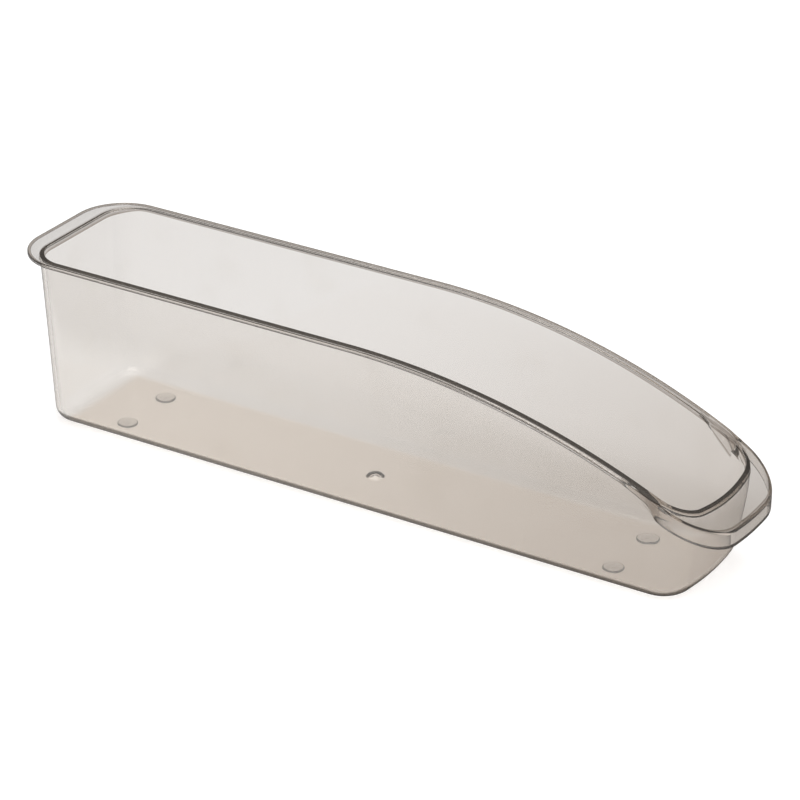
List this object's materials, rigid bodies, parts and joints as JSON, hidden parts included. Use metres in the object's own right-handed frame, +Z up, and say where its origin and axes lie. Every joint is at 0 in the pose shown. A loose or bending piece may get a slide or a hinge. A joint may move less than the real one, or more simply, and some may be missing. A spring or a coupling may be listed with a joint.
{
  "type": "fridge bin",
  "caption": "Narrow clear fridge and drawer organiser bin with a flanged rim that dips to a skirted pull handle, on small clear feet.",
  "frame": {"origin": "centre of the bin's outline on the surface that its feet stand on", "axes": "+Z up, +Y towards the high back end, -Y towards the pull handle, +X to the right seen from the handle"},
  "size_m": [0.0834, 0.37, 0.0873],
  "materials": {
    "clear_tinted": "gloss",
    "clear_foot": "gloss"
  },
  "bodies": {
    "root": {"tub": "clear_tinted", "foot_back_left": "clear_foot", "foot_back_right": "clear_foot", "foot_front_left": "clear_foot", "foot_front_right": "clear_foot"}
  },
  "joints": []
}
